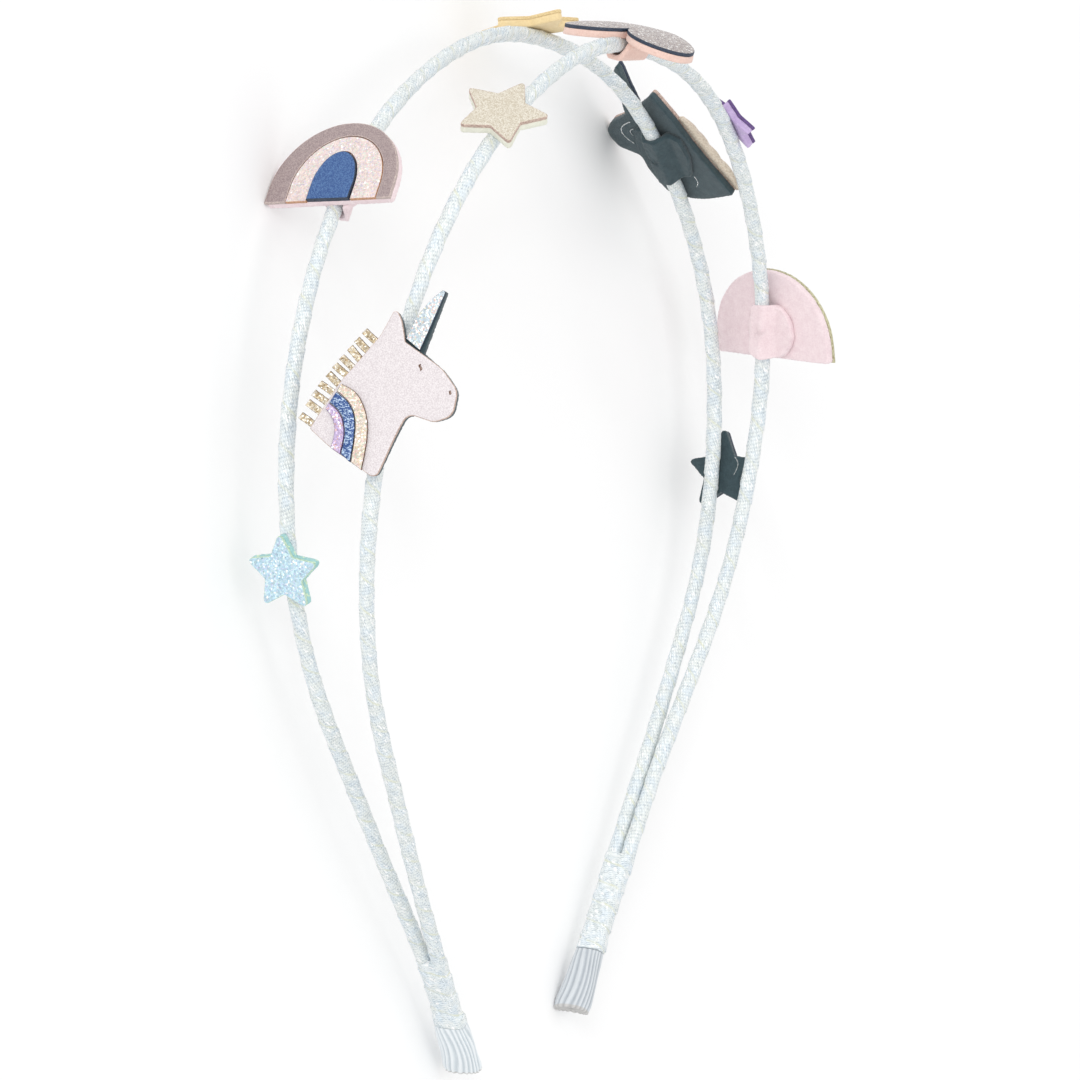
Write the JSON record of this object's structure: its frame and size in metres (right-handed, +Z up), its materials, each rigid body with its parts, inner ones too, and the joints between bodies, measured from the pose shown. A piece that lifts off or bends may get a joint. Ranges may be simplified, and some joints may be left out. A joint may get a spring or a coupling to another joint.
{
  "type": "unicorn horn headband",
  "caption": "Child's hair band of wire strands wrapped in pale shimmer ribbon, dotted with felt-backed stars, rainbows, a heart and unicorn heads with small glitter horns.",
  "frame": {"origin": "middle of the bounding box's base: the band lies on its side as it rests on a table", "axes": "+X from the near leg to the far leg, +Y from the tips to the crown, +Z up off the table, from the strand that lies lower to the other"},
  "size_m": [0.1334, 0.1418, 0.0368],
  "materials": {
    "silver_ribbon": "pale silver-blue metallic ribbon, wound in a spiral",
    "white_ribbed_ribbon": "white ribbed ribbon, satin sheen",
    "dark_felt": "matt charcoal felt",
    "pink_felt": "matt pale pink felt",
    "teal_felt": "matt pale teal felt",
    "pale_lime_felt": "matt pale lime felt",
    "sand_felt": "matt sand felt",
    "purple_felt": "matt lilac felt",
    "blue_glitter": "pale blue fine glitter sheet",
    "gold_leatherette": "champagne metallic grained leatherette",
    "sand_glitter": "sand glitter sheet",
    "dark_glitter": "dark blue-grey glitter sheet",
    "purple_leatherette": "purple leatherette",
    "mauve_leatherette": "matt mauve-grey leatherette",
    "pink_glitter": "pinkish white glitter sheet",
    "blue_leatherette": "blue grained leatherette",
    "pearl_leatherette": "pinkish pearl shimmer leatherette",
    "silver_glitter": "silver iridescent glitter sheet",
    "gold_glitter": "gold glitter sheet",
    "peach_glitter": "peach-gold glitter sheet",
    "lilac_glitter": "lilac glitter sheet",
    "rose_glitter": "rose-mauve glitter sheet"
  },
  "bodies": {
    "root": {"blue_star_felt": "teal_felt", "blue_star_front": "blue_glitter", "dark_star_felt": "dark_felt", "dark_star_front": "dark_glitter", "far_joint_wrap": "silver_ribbon", "far_rainbow_disc": "pink_felt", "far_rainbow_felt": "pink_felt", "far_rainbow_inner_half_disc": "blue_leatherette", "far_rainbow_middle_band": "pink_glitter", "far_rainbow_outer_band": "mauve_leatherette", "far_tip_cover": "white_ribbed_ribbon", "far_unicorn_felt": "dark_felt", "far_unicorn_head": "pearl_leatherette", "far_unicorn_horn": "silver_glitter", "far_unicorn_inner_neck_band": "lilac_glitter", "far_unicorn_mane": "gold_glitter", "far_unicorn_middle_neck_band": "blue_leatherette", "far_unicorn_outer_neck_band": "peach_glitter", "far_unicorn_tab": "dark_felt", "gold_star_felt": "pale_lime_felt", "gold_star_front": "gold_leatherette", "heart_disc": "pink_felt", "heart_felt": "pink_felt", "heart_front": "rose_glitter", "near_joint_wrap": "silver_ribbon", "near_rainbow_disc": "pink_felt", "near_rainbow_felt": "pink_felt", "near_rainbow_inner_half_disc": "blue_leatherette", "near_rainbow_middle_band": "pink_glitter", "near_rainbow_outer_band": "mauve_leatherette", "near_tip_cover": "white_ribbed_ribbon", "near_unicorn_felt": "dark_felt", "near_unicorn_head": "pearl_leatherette", "near_unicorn_horn": "silver_glitter", "near_unicorn_inner_neck_band": "lilac_glitter", "near_unicorn_mane": "gold_glitter", "near_unicorn_middle_neck_band": "blue_leatherette", "near_unicorn_outer_neck_band": "peach_glitter", "near_unicorn_tab": "dark_felt", "purple_star_felt": "purple_felt", "purple_star_front": "purple_leatherette", "sand_star_felt": "sand_felt", "sand_star_front": "sand_glitter", "strand_1": "silver_ribbon", "strand_2": "silver_ribbon"}
  },
  "joints": []
}
